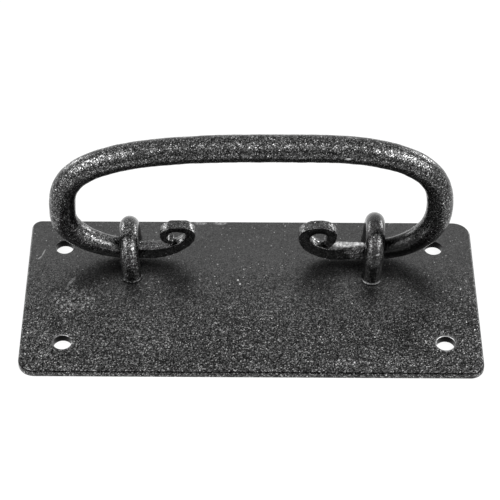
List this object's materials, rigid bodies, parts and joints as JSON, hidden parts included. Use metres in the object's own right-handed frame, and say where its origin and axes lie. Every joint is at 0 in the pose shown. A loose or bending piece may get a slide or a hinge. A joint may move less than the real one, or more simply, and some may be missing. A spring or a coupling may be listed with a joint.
{
  "type": "bail pull",
  "caption": "Hand-forged bail pull for a chest or drawer: a flat back plate with screw holes, riveted wire staples and a swinging bail handle whose ends are rolled into curls.",
  "frame": {"origin": "Middle of the back plate's back face, which is the face that lies on the chest.", "axes": "+X along the plate's length, +Y towards the edge that the staples are nearest, +Z out of the plate's front face. The bail stands square to the plate at rest."},
  "size_m": [0.165, 0.076, 0.0631],
  "materials": {
    "plate_paint": "matt black powder coat, fine grain",
    "staple_paint": "satin black powder coat",
    "bail_paint": "satin black powder coat over forged steel"
  },
  "bodies": {
    "plate": {"back_plate": "plate_paint", "staple_left": "staple_paint", "staple_right": "staple_paint"},
    "bail": {"bail": "bail_paint"}
  },
  "joints": [
    {"name": "bail_swing", "type": "hinge", "parent": "plate", "child": "bail", "pos_m": [0, 0.0186, 0.0075], "axis": [1, 0, 0], "range_deg": [-87, 87]}
  ]
}
